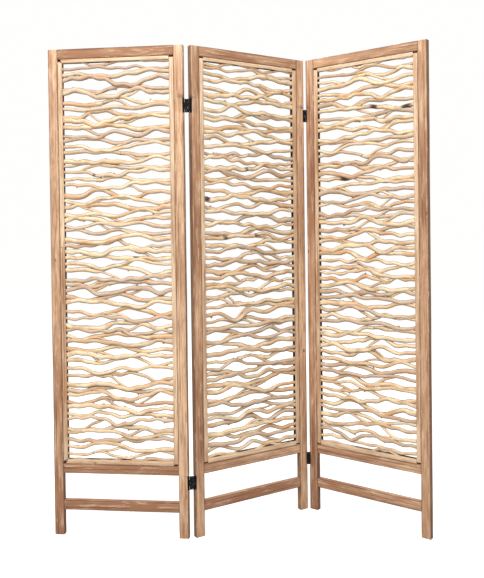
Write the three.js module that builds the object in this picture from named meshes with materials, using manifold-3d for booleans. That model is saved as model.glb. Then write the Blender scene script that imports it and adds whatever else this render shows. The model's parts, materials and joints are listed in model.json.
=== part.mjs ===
// A three-panel folding room divider: washed pine frames filled with peeled twigs,
// hung from each other on double-action hinges. Millimetres, +Z up, front towards -Y.
//
// Every panel is drawn in its own frame: x runs along the panel from its left side face,
// y through its thickness with the front at -THICKNESS / 2, and z up from the floor.

import * as THREE from "three";
import { mergeVertices } from "three/addons/utils/BufferGeometryUtils.js";
import Module from "manifold-3d";

const wasm = await Module();
wasm.setup();

// ---- Driving dimensions -------------------------------------------------------------

const HEIGHT = 1700;
const PANEL_WIDTH = 478;
const THICKNESS = 20;
const STILE_WIDTH = 34;
const TOP_RAIL = { bottom: 1665, top: HEIGHT };
const BOTTOM_RAIL = { bottom: 218, top: 251 };
const STRETCHER = { bottom: 89, top: 123 };

// How far each panel is turned about the vertical as the screen stands.
const TURN = { left: -6.1, middle: 31.3, right: -36.7 };

// Stub tenons on the rail ends, and the play between pieces that touch.
const TENON_LENGTH = 12;
const TENON_THICKNESS = 8;
const TENON_SHOULDER = 5;
const PLAY = 0.3;

// How far a shape that cuts or joins runs past the face that it meets.
const OVERRUN = 1;

// Beads: flat battens round the opening that clamp the twig ends between them.
const BEAD_SIDE = 16;
const BEAD_TOP = 13;
const BEAD_BOTTOM = 16;
const BEAD_THICKNESS = 4;
const BEAD_RECESS = 0.6;
const BEAD_CORNER_GAP = 5;
const BEAD_JOINT_HEIGHT = 1010;

// Hinges: two vertical pins joined by a link, so a panel folds either way. The leaves lie
// deep in gains that run through the stiles, and PIN_OUT is how far the pins stand outside
// the side faces, so a pin that stands inside has a negative one.
const HINGE_HEIGHT = 50;
const HINGE_LEVELS = { lower: 190, upper: 1493 };
const PIN_SPACING = 20.6;
const PIN_OUT = -0.6;
const PIN_RADIUS = 1.3;
const PIN_HEAD_RADIUS = 2.2;
const PIN_HEAD_HEIGHT = 1.3;
const BORE_RADIUS = 1.6;
const BARREL_RADIUS = 2.4;
const BARREL_SIDES = 8;
const LEAF_WIDTH = 19;
const LEAF_THICKNESS = 1.5;
const LEAF_SEAT = 2;
const KNUCKLE_HEIGHT = 11;
const KNUCKLE_END = 1.6;
const KNUCKLE_GAP = 1;
const NECK_WIDTH = 3.2;
const LINK_THICKNESS = 2;
const WEB_CLEARANCE = 0.5;

// Twigs: rows of crooked sticks across the opening.
const TWIG_ROWS = 62;
const TWIG_SPANS = 6;
const TWIG_SIDES = 4;
const TWIG_END_GAP = 3;
const TWIG_RADIUS = { least: 4.5, most: 5.1 };
const TWIG_DEPTH = 2.2;
const TWIG_SLOPE = 7;
const TWIG_WAVE = { least: 5, most: 13 };
const TWIG_CYCLES = { least: 1.3, most: 2.6 };
const TWIG_PHASE_STEP = 1.5;
const TWIG_STRAY = 3;
const TWIG_LEAN = 0.22;
const TWIG_EDGE_ROWS = 2;
const TWIG_EDGE_MARGIN = 8;
const TWIG_SEEDS = { left: 1789, middle: 4271, right: 9157 };

const WOOD = { color: 0xcf9f76, roughness: 0.7, metalness: 0 };
const BEAD_WOOD = { color: 0xe0b68c, roughness: 0.7, metalness: 0 };
const TWIG_WOOD = { color: 0xe8cf9c, roughness: 0.6, metalness: 0 };
const BLACK_STEEL = { color: 0x1c1a19, roughness: 0.45, metalness: 0.6 };

// ---- Worked-out sizes ---------------------------------------------------------------

const OPENING = {
  left: STILE_WIDTH,
  right: PANEL_WIDTH - STILE_WIDTH,
  bottom: BOTTOM_RAIL.top,
  top: TOP_RAIL.bottom,
};
const BEAD_FRONT = THICKNESS / 2 - BEAD_RECESS;
const BEAD_BACK = BEAD_FRONT - BEAD_THICKNESS;

// ---- Solids -------------------------------------------------------------------------

function solidOf(geometry) {
  const bare = geometry.clone();
  bare.deleteAttribute("normal");
  bare.deleteAttribute("uv");
  const merged = mergeVertices(bare, 1e-4);
  return new wasm.Manifold(
    new wasm.Mesh({
      numProp: 3,
      vertProperties: merged.attributes.position.array,
      triVerts: new Uint32Array(merged.index.array),
    }),
  );
}

function geometryOf(solid) {
  const mesh = solid.getMesh();
  const geometry = new THREE.BufferGeometry();
  geometry.setAttribute("position", new THREE.BufferAttribute(mesh.vertProperties, 3));
  geometry.setIndex(new THREE.BufferAttribute(mesh.triVerts, 1));
  geometry.computeVertexNormals();
  return geometry;
}

function box(x0, x1, y0, y1, z0, z1) {
  const geometry = new THREE.BoxGeometry(x1 - x0, y1 - y0, z1 - z0);
  return geometry.translate((x0 + x1) / 2, (y0 + y1) / 2, (z0 + z1) / 2);
}

function post(radius, x, z0, z1) {
  const geometry = new THREE.CylinderGeometry(radius, radius, z1 - z0, BARREL_SIDES);
  return geometry.rotateX(Math.PI / 2).translate(x, 0, (z0 + z1) / 2);
}

function named(name, geometry, finish) {
  const mesh = new THREE.Mesh(geometry, new THREE.MeshStandardMaterial(finish));
  mesh.name = name;
  return mesh;
}

// ---- Frame members ------------------------------------------------------------------

// A stile stands the full height. edge is 1 where its hinged side face looks along +x,
// -1 along -x, and 0 on a free stile. inner is the side that the rails enter.
function stile(x, edge, inner) {
  let solid = solidOf(box(x, x + STILE_WIDTH, -THICKNESS / 2, THICKNESS / 2, 0, HEIGHT));
  const face = inner > 0 ? x + STILE_WIDTH : x;
  for (const rail of [TOP_RAIL, BOTTOM_RAIL, STRETCHER]) {
    solid = solid.subtract(solidOf(tenon(face, -inner, rail, PLAY)));
  }
  if (edge !== 0) {
    const side = edge > 0 ? x + STILE_WIDTH : x;
    for (const level of Object.values(HINGE_LEVELS)) {
      solid = solid.subtract(solidOf(gain(side, edge, level)));
    }
  }
  return geometryOf(solid);
}

// The recess that a hinge leaf is let into, open at the front and the back of the stile.
function gain(side, edge, level) {
  const depth = LEAF_SEAT + LEAF_THICKNESS + PLAY;
  const reach = [side - edge * depth, side + edge * OVERRUN];
  const half = THICKNESS / 2 + OVERRUN;
  const tall = HINGE_HEIGHT / 2 + PLAY;
  return box(Math.min(...reach), Math.max(...reach), -half, half, level - tall, level + tall);
}

// The tenon that enters the side face at x = face, pointing away from the rail; grow
// makes the mortise from the same shape.
function tenon(face, away, rail, grow) {
  const tip = face + away * (TENON_LENGTH + grow);
  const root = face - away * OVERRUN;
  const half = TENON_THICKNESS / 2 + grow;
  const low = rail.bottom + TENON_SHOULDER - grow;
  const high = rail.top - TENON_SHOULDER + grow;
  return box(Math.min(tip, root), Math.max(tip, root), -half, half, low, high);
}

function rail(span) {
  const half = THICKNESS / 2;
  const body = box(OPENING.left + PLAY, OPENING.right - PLAY, -half, half, span.bottom, span.top);
  const left = solidOf(tenon(OPENING.left, -1, span, -PLAY));
  const right = solidOf(tenon(OPENING.right, 1, span, -PLAY));
  return geometryOf(solidOf(body).add(left).add(right));
}

function frameMembers(panel, hingedLeft, hingedRight) {
  return [
    named(`${panel}_panel_left_stile`, stile(0, hingedLeft ? -1 : 0, 1), WOOD),
    named(`${panel}_panel_right_stile`, stile(OPENING.right, hingedRight ? 1 : 0, -1), WOOD),
    named(`${panel}_panel_top_rail`, rail(TOP_RAIL), WOOD),
    named(`${panel}_panel_bottom_rail`, rail(BOTTOM_RAIL), WOOD),
    named(`${panel}_panel_stretcher`, rail(STRETCHER), WOOD),
  ];
}

// ---- Beads --------------------------------------------------------------------------

// A bead from its outline in the x-z plane, lying on the front or the rear of the twigs.
function bead(outline, front) {
  const shape = new THREE.Shape(outline.map(([x, z]) => new THREE.Vector2(x, z)));
  const geometry = new THREE.ExtrudeGeometry(shape, { depth: BEAD_THICKNESS, bevelEnabled: false });
  const y = front ? -BEAD_BACK : BEAD_FRONT;
  return geometry.rotateX(Math.PI / 2).translate(0, y, 0);
}

// A side bead between two heights, with its ends cut to a loose mitre where asked.
function sideBead(right, low, high, front, mitreLow = true, mitreHigh = true) {
  const outer = right ? OPENING.right - PLAY : OPENING.left + PLAY;
  const inner = right ? OPENING.right - BEAD_SIDE : OPENING.left + BEAD_SIDE;
  const outline = [
    [outer, low + (mitreLow ? BEAD_CORNER_GAP : 0)],
    [inner, low + (mitreLow ? BEAD_BOTTOM + PLAY : 0)],
    [inner, high - (mitreHigh ? BEAD_TOP + PLAY : 0)],
    [outer, high - (mitreHigh ? BEAD_CORNER_GAP : 0)],
  ];
  return bead(right ? outline.reverse() : outline, front);
}

function crossBead(top, front) {
  const outer = top ? OPENING.top - PLAY : OPENING.bottom + PLAY;
  const inner = top ? OPENING.top - BEAD_TOP : OPENING.bottom + BEAD_BOTTOM;
  const outline = [
    [OPENING.left + BEAD_CORNER_GAP, outer],
    [OPENING.right - BEAD_CORNER_GAP, outer],
    [OPENING.right - BEAD_SIDE - PLAY, inner],
    [OPENING.left + BEAD_SIDE + PLAY, inner],
  ];
  return bead(top ? outline.reverse() : outline, front);
}

// The left panel's left front bead is two lengths butted end to end.
function frontSideBeads(panel) {
  const { bottom, top } = OPENING;
  const right = named(`${panel}_panel_front_bead_right`, sideBead(true, bottom, top, true), BEAD_WOOD);
  if (panel !== "left") {
    return [named(`${panel}_panel_front_bead_left`, sideBead(false, bottom, top, true), BEAD_WOOD), right];
  }
  const joint = BEAD_JOINT_HEIGHT;
  const lower = sideBead(false, bottom, joint, true, true, false);
  const upper = sideBead(false, joint + PLAY, top, true, false, true);
  return [
    named(`${panel}_panel_front_bead_left_lower`, lower, BEAD_WOOD),
    named(`${panel}_panel_front_bead_left_upper`, upper, BEAD_WOOD),
    right,
  ];
}

function beads(panel) {
  const { bottom, top } = OPENING;
  return [
    named(`${panel}_panel_front_bead_top`, crossBead(true, true), BEAD_WOOD),
    named(`${panel}_panel_front_bead_bottom`, crossBead(false, true), BEAD_WOOD),
    ...frontSideBeads(panel),
    named(`${panel}_panel_rear_bead_left`, sideBead(false, bottom, top, false), BEAD_WOOD),
    named(`${panel}_panel_rear_bead_right`, sideBead(true, bottom, top, false), BEAD_WOOD),
  ];
}

// ---- Twigs --------------------------------------------------------------------------

// Lehmer's generator: the same plain arithmetic gives the same twigs every time.
function randomFrom(seed) {
  let state = seed;
  return () => {
    state = (state * 16807) % 2147483647;
    return state / 2147483647;
  };
}

// Each row is { radius, heights }, one height for each station across the opening. A row
// waves between its two ends, and leans against the row above it at one station.
function twigRows(seed) {
  const random = randomFrom(seed);
  const spread = (size) => (random() * 2 - 1) * size;
  const between = ({ least, most }) => least + random() * (most - least);
  const pitch = (OPENING.top - OPENING.bottom) / TWIG_ROWS;
  const rows = [];
  let phase = random() * 2 * Math.PI;
  for (let i = 0; i < TWIG_ROWS; i++) {
    const level = OPENING.bottom + (i + 0.5) * pitch;
    const start = level + spread(TWIG_SLOPE);
    const end = level + spread(TWIG_SLOPE);
    const wave = between(TWIG_WAVE);
    const cycles = between(TWIG_CYCLES);
    phase += spread(TWIG_PHASE_STEP);
    const radius = between(TWIG_RADIUS);
    const heights = [];
    for (let k = 0; k <= TWIG_SPANS; k++) {
      const s = k / TWIG_SPANS;
      const fade = Math.sqrt(Math.sin(Math.PI * s));
      const sway = wave * Math.sin(2 * Math.PI * cycles * s + phase) + spread(TWIG_STRAY);
      heights.push(start + (end - start) * s + (k % TWIG_SPANS === 0 ? 0 : fade * sway));
    }
    rows.push({ radius, heights });
  }
  leanTogether(rows, random);
  return rows;
}

// Brings each row and the one above it together at one station, and keeps the rows off
// the rails.
function leanTogether(rows, random) {
  let station = 1;
  for (let i = 0; i + 1 < rows.length; i++) {
    station = 1 + ((station + 1 + (random() < 0.5 ? 0 : 1)) % (TWIG_SPANS - 1));
    const lower = rows[i].heights;
    const upper = rows[i + 1].heights;
    const middle = (lower[station] + upper[station]) / 2;
    const apart = TWIG_LEAN * (rows[i].radius + rows[i + 1].radius);
    lower[station] = middle - apart;
    upper[station] = middle + apart;
  }
  const low = OPENING.bottom + TWIG_EDGE_MARGIN;
  const high = OPENING.top - TWIG_EDGE_MARGIN;
  for (const row of rows) {
    row.heights = row.heights.map((height) => Math.min(high, Math.max(low, height)));
  }
}

// A curve sampled at its own stations, so that rows really touch where they lean.
class TwigCurve extends THREE.CatmullRomCurve3 {
  getPointAt(u, target) {
    return this.getPoint(u, target);
  }

  getTangentAt(u, target) {
    return this.getTangent(u, target);
  }
}

function twig(row, index) {
  const first = OPENING.left + TWIG_END_GAP;
  const span = (OPENING.right - OPENING.left - 2 * TWIG_END_GAP) / TWIG_SPANS;
  const atEdge = index < TWIG_EDGE_ROWS || index >= TWIG_ROWS - TWIG_EDGE_ROWS;
  const depth = atEdge ? 0 : (index % 2 === 0 ? -TWIG_DEPTH : TWIG_DEPTH);
  const points = row.heights.map((height, k) => {
    const bulge = depth * Math.sin((Math.PI * k) / TWIG_SPANS);
    return new THREE.Vector3(first + k * span, bulge, height);
  });
  const path = new TwigCurve(points);
  return new THREE.ExtrudeGeometry(twigSection(row.radius), {
    steps: TWIG_SPANS,
    extrudePath: path,
    bevelEnabled: false,
  });
}

function twigSection(radius) {
  const corners = [];
  for (let i = 0; i < TWIG_SIDES; i++) {
    const angle = (2 * Math.PI * i) / TWIG_SIDES;
    corners.push(new THREE.Vector2(radius * Math.cos(angle), radius * Math.sin(angle)));
  }
  return new THREE.Shape(corners);
}

function twigInfill(panel) {
  const solids = twigRows(TWIG_SEEDS[panel]).map((row, index) => solidOf(twig(row, index)));
  const infill = solids.reduce((sum, solid) => sum.add(solid));
  return named(`${panel}_panel_twigs`, geometryOf(infill), TWIG_WOOD);
}

// ---- Hinges -------------------------------------------------------------------------

// A leaf for a side face at x = 0 that looks along +x, with its barrels round the pin.
function hingeLeaf(level) {
  const half = HINGE_HEIGHT / 2;
  const wide = LEAF_WIDTH / 2;
  const back = -LEAF_SEAT - LEAF_THICKNESS;
  const shoulder = half - KNUCKLE_END;
  let leaf = solidOf(box(back, -LEAF_SEAT, -wide, wide, level - half, level + half));
  for (const [z0, z1] of leafCuts(level, shoulder)) {
    const room = BARREL_RADIUS + WEB_CLEARANCE;
    leaf = leaf.subtract(solidOf(box(back - OVERRUN, OVERRUN, -room, room, z0, z1)));
  }
  const high = level + shoulder;
  const low = level - shoulder;
  for (const [z0, z1] of [[low, low + KNUCKLE_HEIGHT], [high - KNUCKLE_HEIGHT, high]]) {
    const neck = box(back + LEAF_THICKNESS / 2, PIN_OUT, -NECK_WIDTH / 2, NECK_WIDTH / 2, z0, z1);
    const barrel = solidOf(post(BARREL_RADIUS, PIN_OUT, z0, z1)).add(solidOf(neck));
    const bore = post(BORE_RADIUS, PIN_OUT, z0 - OVERRUN, z1 + OVERRUN);
    leaf = leaf.add(barrel).subtract(solidOf(bore));
  }
  return geometryOf(leaf);
}

// The heights between which a leaf is cut away: a notch for each pin head, and a window
// for the barrel of the link.
function leafCuts(level, shoulder) {
  const window = shoulder - KNUCKLE_HEIGHT - KNUCKLE_GAP / 2;
  const notch = shoulder + PLAY / 2;
  const end = HINGE_HEIGHT / 2 + OVERRUN;
  return [
    [level - end, level - notch],
    [level - window, level + window],
    [level + notch, level + end],
  ];
}

// The link between the two pins, which stand at x = -PIN_SPACING / 2 and x = +PIN_SPACING / 2.
function hingeLink(level) {
  const half = HINGE_HEIGHT / 2;
  const middle = half - KNUCKLE_END - KNUCKLE_HEIGHT - KNUCKLE_GAP;
  const pin = PIN_SPACING / 2;
  const clear = pin - BARREL_RADIUS - WEB_CLEARANCE;
  const thick = LINK_THICKNESS / 2;
  const webs = [
    box(-pin, pin, -thick, thick, level - middle, level + middle),
    box(-clear, clear, -thick, thick, level - half + KNUCKLE_END, level + half - KNUCKLE_END),
  ];
  let link = solidOf(webs[0]).add(solidOf(webs[1]));
  for (const x of [-pin, pin]) {
    link = link.add(solidOf(post(BARREL_RADIUS, x, level - middle, level + middle)));
  }
  for (const x of [-pin, pin]) {
    link = link.subtract(solidOf(post(BORE_RADIUS, x, level - half, level + half)));
  }
  return geometryOf(link);
}

function hingePin(level) {
  const shoulder = HINGE_HEIGHT / 2 - KNUCKLE_END + PLAY;
  const end = shoulder + PIN_HEAD_HEIGHT;
  const profile = [
    [0, -end],
    [PIN_HEAD_RADIUS, -end],
    [PIN_HEAD_RADIUS, -shoulder],
    [PIN_RADIUS, -shoulder],
    [PIN_RADIUS, shoulder],
    [PIN_HEAD_RADIUS, shoulder],
    [PIN_HEAD_RADIUS, end],
    [0, end],
  ].map(([radius, z]) => new THREE.Vector2(radius, z));
  const geometry = new THREE.LatheGeometry(profile, BARREL_SIDES);
  return geometry.rotateX(Math.PI / 2).translate(0, 0, level);
}

// The leaf and pin that a panel carries on one side face.
function hingeHalf(name, level, edge) {
  const half = new THREE.Group();
  const pin = named(`${name}_pin`, hingePin(level), BLACK_STEEL);
  pin.position.x = PIN_OUT;
  half.add(named(`${name}_leaf`, hingeLeaf(level), BLACK_STEEL), pin);
  half.position.x = edge > 0 ? PANEL_WIDTH : 0;
  half.rotation.z = edge > 0 ? 0 : Math.PI;
  return half;
}

// ---- Assembly -----------------------------------------------------------------------

// hinges lists each hinged edge as [which joint, inner or outer leaf, 1 or -1 for the edge].
function panelGroup(panel, hinges) {
  const group = new THREE.Group();
  const hasEdge = (edge) => hinges.some((hinge) => hinge[2] === edge);
  group.add(...frameMembers(panel, hasEdge(-1), hasEdge(1)));
  group.add(...beads(panel));
  group.add(twigInfill(panel));
  for (const [joint, half, edge] of hinges) {
    for (const [level, height] of Object.entries(HINGE_LEVELS)) {
      group.add(hingeHalf(`${joint}_${level}_hinge_${half}`, height, edge));
    }
  }
  return group;
}

function linkGroup(joint) {
  const group = new THREE.Group();
  for (const [level, height] of Object.entries(HINGE_LEVELS)) {
    group.add(named(`${joint}_${level}_hinge_link`, hingeLink(height), BLACK_STEEL));
  }
  return group;
}

const along = (degrees, length) => {
  const angle = THREE.MathUtils.degToRad(degrees);
  return new THREE.Vector3(length * Math.cos(angle), length * Math.sin(angle), 0);
};

function place(group, position, degrees) {
  group.position.copy(position);
  group.rotation.z = THREE.MathUtils.degToRad(degrees);
  return group;
}

function buildScreen() {
  const leftLinkTurn = (TURN.left + TURN.middle) / 2;
  const rightLinkTurn = (TURN.middle + TURN.right) / 2;
  const middleStart = new THREE.Vector3();
  const middleEnd = along(TURN.middle, PANEL_WIDTH);

  const leftLink = along(TURN.middle, -PIN_OUT).add(along(leftLinkTurn, -PIN_SPACING / 2));
  const leftStart = leftLink.clone().add(along(leftLinkTurn, -PIN_SPACING / 2));
  leftStart.add(along(TURN.left, -PIN_OUT - PANEL_WIDTH));

  const rightLink = middleEnd.clone().add(along(TURN.middle, PIN_OUT));
  rightLink.add(along(rightLinkTurn, PIN_SPACING / 2));
  const rightStart = rightLink.clone().add(along(rightLinkTurn, PIN_SPACING / 2));
  rightStart.add(along(TURN.right, PIN_OUT));

  const layout = new THREE.Group();
  layout.add(place(panelGroup("left", [["left", "outer", 1]]), leftStart, TURN.left));
  layout.add(
    place(panelGroup("middle", [["left", "inner", -1], ["right", "inner", 1]]), middleStart, TURN.middle),
  );
  layout.add(place(panelGroup("right", [["right", "outer", -1]]), rightStart, TURN.right));
  layout.add(place(linkGroup("left"), leftLink, leftLinkTurn));
  layout.add(place(linkGroup("right"), rightLink, rightLinkTurn));

  const centre = new THREE.Box3().setFromObject(layout, true).getCenter(new THREE.Vector3());
  layout.position.set(-centre.x, -centre.y, 0);
  return new THREE.Group().add(layout);
}

export default buildScreen();
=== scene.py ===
# %% [markdown]
# # A folding room divider of pine and peeled twigs
# The screen is three timber frames joined by double-action hinges. Rows of crooked,
# peeled branches fill each frame, with their ends clamped between thin battens. This
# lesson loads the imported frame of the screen, dresses its timber, makes the twigs and
# the ironwork, and lights it all like a product on white paper.

import itertools
import json
import math
from types import SimpleNamespace

import bmesh
import bpy
from mathutils import Matrix, Vector, noise


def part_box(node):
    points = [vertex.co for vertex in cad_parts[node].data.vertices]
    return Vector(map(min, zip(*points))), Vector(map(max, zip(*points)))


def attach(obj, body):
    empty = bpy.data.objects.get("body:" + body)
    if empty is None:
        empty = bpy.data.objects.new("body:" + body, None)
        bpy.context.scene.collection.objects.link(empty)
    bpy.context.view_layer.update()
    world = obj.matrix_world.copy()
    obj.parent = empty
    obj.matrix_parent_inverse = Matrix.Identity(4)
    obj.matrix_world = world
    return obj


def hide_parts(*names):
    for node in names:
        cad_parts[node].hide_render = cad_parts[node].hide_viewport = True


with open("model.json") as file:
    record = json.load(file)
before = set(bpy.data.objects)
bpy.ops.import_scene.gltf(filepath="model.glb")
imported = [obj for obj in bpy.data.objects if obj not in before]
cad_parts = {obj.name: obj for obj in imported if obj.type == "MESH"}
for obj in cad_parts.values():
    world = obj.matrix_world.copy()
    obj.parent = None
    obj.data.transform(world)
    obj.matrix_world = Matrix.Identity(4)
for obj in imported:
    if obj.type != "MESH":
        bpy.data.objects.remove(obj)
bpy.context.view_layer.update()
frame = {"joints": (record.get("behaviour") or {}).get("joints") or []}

# %% [markdown]
# ## Camera
# A product shot of a tall screen is taken from about two and a half metres with a
# moderate wide lens held nearly level, so that the stiles stay nearly upright. The lens
# is shifted down to take in the feet instead of tilting the camera, as a view camera
# does. The camera leans by 0.7 degrees, so the whole screen leans a little too.

# %% Place the camera
CAMERA_PLACE = Vector((0.0136, -2.5221, 1.0588))
CAMERA_TILT = math.radians(90 - 0.736)
CAMERA_ROLL = math.radians(-0.703)
SENSOR = 24.0
FOCAL_SHARE = 1.2122
LENS_SHIFT = -0.0843


def make_camera():
    data = bpy.data.cameras.new("camera")
    data.sensor_fit = "VERTICAL"
    data.sensor_height = SENSOR
    data.lens = SENSOR * FOCAL_SHARE
    data.shift_y = LENS_SHIFT
    data.clip_end = 100
    camera = bpy.data.objects.new("camera", data)
    bpy.context.collection.objects.link(camera)
    turn = Matrix.Rotation(CAMERA_TILT, 4, "X") @ Matrix.Rotation(CAMERA_ROLL, 4, "Z")
    camera.matrix_world = Matrix.Translation(CAMERA_PLACE) @ turn
    bpy.context.scene.camera = camera
    return camera


camera = make_camera()
print("camera", tuple(round(c, 3) for c in CAMERA_PLACE), "lens", round(camera.data.lens, 1))

# %% [markdown]
# ## Three panels, three frames of reference
# A joiner measures a panel from its own lower left corner, whatever way it stands in
# the room. The same works here: each panel gets a matrix that carries panel
# measurements (x along the panel, y through it with the front negative, z up) into the
# standing screen. The hinge axes fix where each panel is, so the matrices start there.

# %% Sizes and panel matrices
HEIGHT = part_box("left_panel_left_stile")[1].z
PANEL_WIDTH = 0.478
THICKNESS = 0.020
STILE_WIDTH = 0.034
TOP_RAIL = (1.665, HEIGHT)
BOTTOM_RAIL = (0.218, 0.251)
STRETCHER = (0.089, 0.123)
PLAY = 0.0003
PIN_OUT = -0.0006
PIN_SPACING = 0.0206
PANELS = ("left", "middle", "right")
TURN = {"left": math.radians(-6.1), "middle": math.radians(31.3), "right": math.radians(-36.7)}
OPEN_X = (STILE_WIDTH, PANEL_WIDTH - STILE_WIDTH)
OPEN_Z = (BOTTOM_RAIL[1], TOP_RAIL[0])

AXIS = {joint["name"]: Vector(joint["pos_m"]) for joint in frame["joints"]}


def heading(angle, length):
    return Vector((math.cos(angle), math.sin(angle), 0)) * length


def standing(place, angle):
    return Matrix.Translation(place) @ Matrix.Rotation(angle, 4, "Z")


PANEL_START = {
    "left": AXIS["left_panel_swing"] - heading(TURN["left"], PIN_OUT + PANEL_WIDTH),
    "middle": AXIS["left_link_swing"] + heading(TURN["middle"], PIN_OUT),
    "right": AXIS["right_panel_swing"] + heading(TURN["right"], PIN_OUT),
}
STANDS = {panel: standing(PANEL_START[panel], TURN[panel]) for panel in PANELS}
print({panel: tuple(round(c, 4) for c in PANEL_START[panel]) for panel in PANELS})

# %% [markdown]
# ## Finishing a piece
# Every piece ends the same way: its mesh is moved to its place, its object stays at the
# origin, and it rides on a body of the frame. Wood needs one thing more. Grain follows
# the board and not the room, so each vertex stores where it lies along, across and
# through its own board, with a different start for every board. A second value tells how
# near the vertex is to the board's edges, from -1 to 1, for wear and a painted shade line on
# the arrises. A third one holds how much stain the board drank there, and two painted shades:
# one on faces in the groove behind the front battens, one on the narrow faces.

# %% Helpers that finish a piece
BOARD_STEP = Vector((1.37, 0.41, 0.23))
# The share of its half width past which a vertex lies on the board's narrow face.
SIDE_FACE = 0.985
board_numbers = itertools.count(1)


def piece(name, bm, matrix, body, material, replaced=None):
    bm.transform(matrix)
    mesh = bpy.data.meshes.new(name)
    bm.to_mesh(mesh)
    bm.free()
    made = bpy.data.objects.new(name, mesh)
    bpy.context.collection.objects.link(made)
    mesh.materials.append(material)
    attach(made, body)
    if replaced:
        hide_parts(replaced)
    return made


def store(bm, name, values):
    layer = bm.verts.layers.float_vector.new(name)
    for vert, value in zip(bm.verts, values):
        vert[layer] = value


def mark_board(bm, low, high, along, number, stain, groove_shade_above=None, shaded_sides=()):
    """Stores board coordinates on every vertex; along is the axis that the grain follows.

    stain is its amount at the low and the high end. Faces in front of the y value given
    for the groove look into the groove behind the front battens and get painted shade.
    The sides given, -1 or 1 across the board, are the narrow faces that get painted shade.
    """
    order = {"x": (0, 2, 1), "z": (2, 0, 1)}[along]
    middle = (low + high) / 2
    half = (high - low) / 2
    start = BOARD_STEP * number
    away = [vert.co - middle for vert in bm.verts]
    store(bm, "board", [Vector([a[i] for i in order]) + start for a in away])
    store(bm, "edge", [Vector([a[i] / half[i] for i in order]) for a in away])
    shares = [0.5 + 0.5 * a[order[0]] / half[order[0]] for a in away]
    # Faces of a rear batten that look into the groove behind the front battens get painted shade.
    groove_shade = [1.0 if groove_shade_above is not None and vert.co.y < groove_shade_above else 0.0 for vert in bm.verts]
    drunk = [stain[0] + (stain[1] - stain[0]) * share for share in shares]
    sides = [a[order[1]] / half[order[1]] for a in away]
    # Vertices on the listed narrow faces get painted shade.
    side_shade = [1.0 if any(side * way > SIDE_FACE for way in shaded_sides) else 0.0 for side in sides]
    store(bm, "stain", [Vector(values) for values in zip(drunk, groove_shade, side_shade)])


def soften(bm, width, segments=3, edges=None):
    bmesh.ops.bevel(
        bm,
        geom=edges or bm.edges[:],
        offset=width,
        offset_type="OFFSET",
        segments=segments,
        profile=0.5,
        affect="EDGES",
        clamp_overlap=True,
        material=-1,
    )


def shade(bm):
    """Every face shades smooth; the narrow bevels keep the wide faces looking flat."""
    for face in bm.faces:
        face.smooth = True


def block(low, high):
    bm = bmesh.new()
    bmesh.ops.create_cube(bm, size=1.0)
    bmesh.ops.scale(bm, vec=high - low, verts=bm.verts)
    bmesh.ops.translate(bm, vec=(low + high) / 2, verts=bm.verts)
    return bm


def append(whole, part):
    """Adds a small bmesh to a larger one, with its stored values, and lets it go."""
    mesh = bpy.data.meshes.new("part")
    part.to_mesh(mesh)
    part.free()
    whole.from_mesh(mesh)
    bpy.data.meshes.remove(mesh)


def slice_along(bm, axis, places):
    normal = Vector([1.0 if i == axis else 0.0 for i in range(3)])
    for place in places:
        bmesh.ops.bisect_plane(
            bm,
            geom=bm.verts[:] + bm.edges[:] + bm.faces[:],
            dist=1e-6,
            plane_co=normal * place,
            plane_no=normal,
        )


# %% [markdown]
# ## Building blocks for shader nodes
# Materials here are made in code, so a few small functions keep them readable: one adds
# a node and fills its sockets, one does a sum, one mixes two colours, and one makes a
# node group with named sockets.

# %% Node helpers


def fill(tree, made, inputs):
    for name, value in inputs.items():
        if isinstance(value, bpy.types.NodeSocket):
            tree.links.new(value, made.inputs[name])
        else:
            made.inputs[name].default_value = value


def node(tree, kind, inputs=None, **settings):
    made = tree.nodes.new("ShaderNode" + kind)
    for name, value in settings.items():
        setattr(made, name, value)
    fill(tree, made, inputs or {})
    return made


def calc(tree, operation, a, b=0.0, c=0.0, clamp=False):
    return node(tree, "Math", {0: a, 1: b, 2: c}, operation=operation, use_clamp=clamp).outputs[0]


def times(tree, a, b, clamp=False):
    return calc(tree, "MULTIPLY", a, b, clamp=clamp)


def mix(tree, mask, low, high, how="MIX"):
    made = node(tree, "Mix", {0: mask, 6: low, 7: high}, data_type="RGBA", blend_type=how)
    return made.outputs[2]


def step_up(tree, value, start, end, low=0.0, high=1.0):
    inputs = {"Value": value, "From Min": start, "From Max": end, "To Min": low, "To Max": high}
    return node(tree, "MapRange", inputs, interpolation_type="SMOOTHSTEP").outputs[0]


def stretched(tree, vector, scale, detail=2.0, rough=0.5):
    """Noise that is drawn out along the first axis of its vector."""
    scaled = node(tree, "VectorMath", {0: vector, 1: scale}, operation="MULTIPLY").outputs[0]
    inputs = {"Vector": scaled, "Scale": 1.0, "Detail": detail, "Roughness": rough}
    return node(tree, "TexNoise", inputs).outputs[0]


def attribute(tree, name):
    found = node(tree, "Attribute", attribute_name=name, attribute_type="GEOMETRY")
    return found.outputs["Vector"]


SOCKETS = {"float": "NodeSocketFloat", "vector": "NodeSocketVector", "color": "NodeSocketColor"}


def new_group(name, inputs, outputs):
    tree = bpy.data.node_groups.new(name, "ShaderNodeTree")
    for label, (kind, value) in inputs.items():
        socket = tree.interface.new_socket(name=label, in_out="INPUT", socket_type=SOCKETS[kind])
        if value is not None:
            socket.default_value = value
    for label, kind in outputs.items():
        tree.interface.new_socket(name=label, in_out="OUTPUT", socket_type=SOCKETS[kind])
    start = tree.nodes.new("NodeGroupInput")
    end = tree.nodes.new("NodeGroupOutput")
    return tree, start.outputs, end.inputs


def use_group(tree, group, inputs):
    made = tree.nodes.new("ShaderNodeGroup")
    made.node_tree = group
    fill(tree, made, inputs)
    return made.outputs


def new_material(name):
    material = bpy.data.materials.new(name)
    material.use_nodes = True
    tree = material.node_tree
    return material, tree, tree.nodes["Principled BSDF"]


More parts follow.
